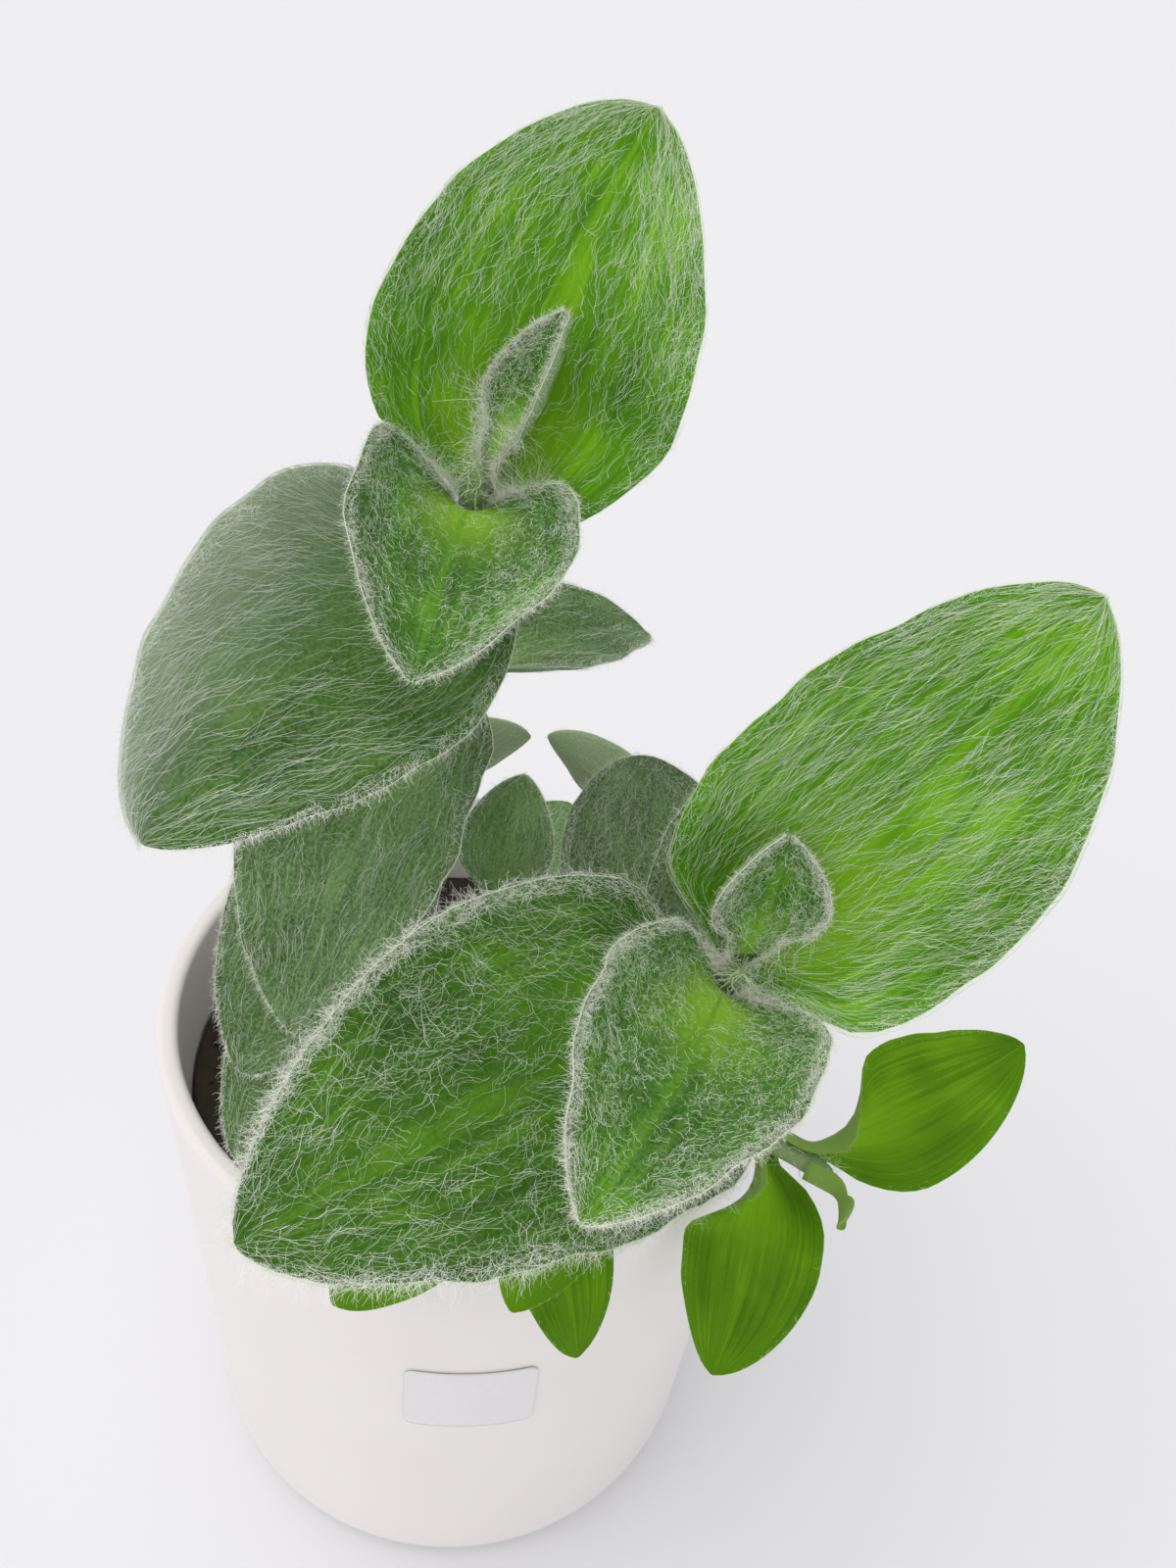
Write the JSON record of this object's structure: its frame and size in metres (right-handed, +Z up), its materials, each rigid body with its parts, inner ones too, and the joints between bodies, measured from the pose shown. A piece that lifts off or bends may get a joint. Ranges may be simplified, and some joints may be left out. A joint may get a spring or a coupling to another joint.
{
  "type": "potted tradescantia",
  "caption": "Cobwebby hairy tradescantia with boat-shaped clasping leaves on several stems, in a plain white glazed pot of soil.",
  "frame": {"origin": "centre of the pot's flat underside, where it rests", "axes": "+Z up along the pot's axis, -Y towards the front with the sticker, +X to the right"},
  "size_m": [0.1739, 0.1904, 0.2923],
  "materials": {
    "glaze": "satin warm white glaze",
    "paper": "matt white paper",
    "soil": "dark peat potting mix",
    "stem": "pale green, hairy",
    "leaf": "green with long white silky hairs",
    "smooth_leaf": "bright green, almost smooth",
    "young_leaf": "green under dense white felt"
  },
  "bodies": {
    "root": {"pot": "glaze", "sticker": "paper", "soil": "soil", "stem_a": "stem", "stem_b": "stem", "stem_c": "stem", "stem_d": "stem", "stem_e": "stem", "stem_f": "stem", "stem_g": "stem", "leaf_a1": "young_leaf", "leaf_a2": "young_leaf", "leaf_a3": "leaf", "leaf_a4": "leaf", "leaf_a5": "leaf", "leaf_a6": "leaf", "leaf_a7": "leaf", "leaf_a8": "leaf", "leaf_a9": "leaf", "leaf_a10": "leaf", "leaf_b1": "young_leaf", "leaf_b2": "young_leaf", "leaf_b3": "leaf", "leaf_b4": "leaf", "leaf_b5": "leaf", "leaf_b6": "leaf", "leaf_b7": "leaf", "leaf_c1": "young_leaf", "leaf_c2": "smooth_leaf", "leaf_c3": "smooth_leaf", "leaf_c4": "smooth_leaf", "leaf_d1": "young_leaf", "leaf_d2": "leaf", "leaf_d3": "leaf", "leaf_d4": "leaf", "leaf_e1": "young_leaf", "leaf_e2": "leaf", "leaf_e3": "leaf", "leaf_f1": "young_leaf", "leaf_f2": "leaf", "leaf_f3": "leaf", "leaf_f4": "leaf", "leaf_g1": "young_leaf", "leaf_g2": "leaf", "leaf_g3": "leaf", "leaf_g4": "leaf"}
  },
  "joints": []
}
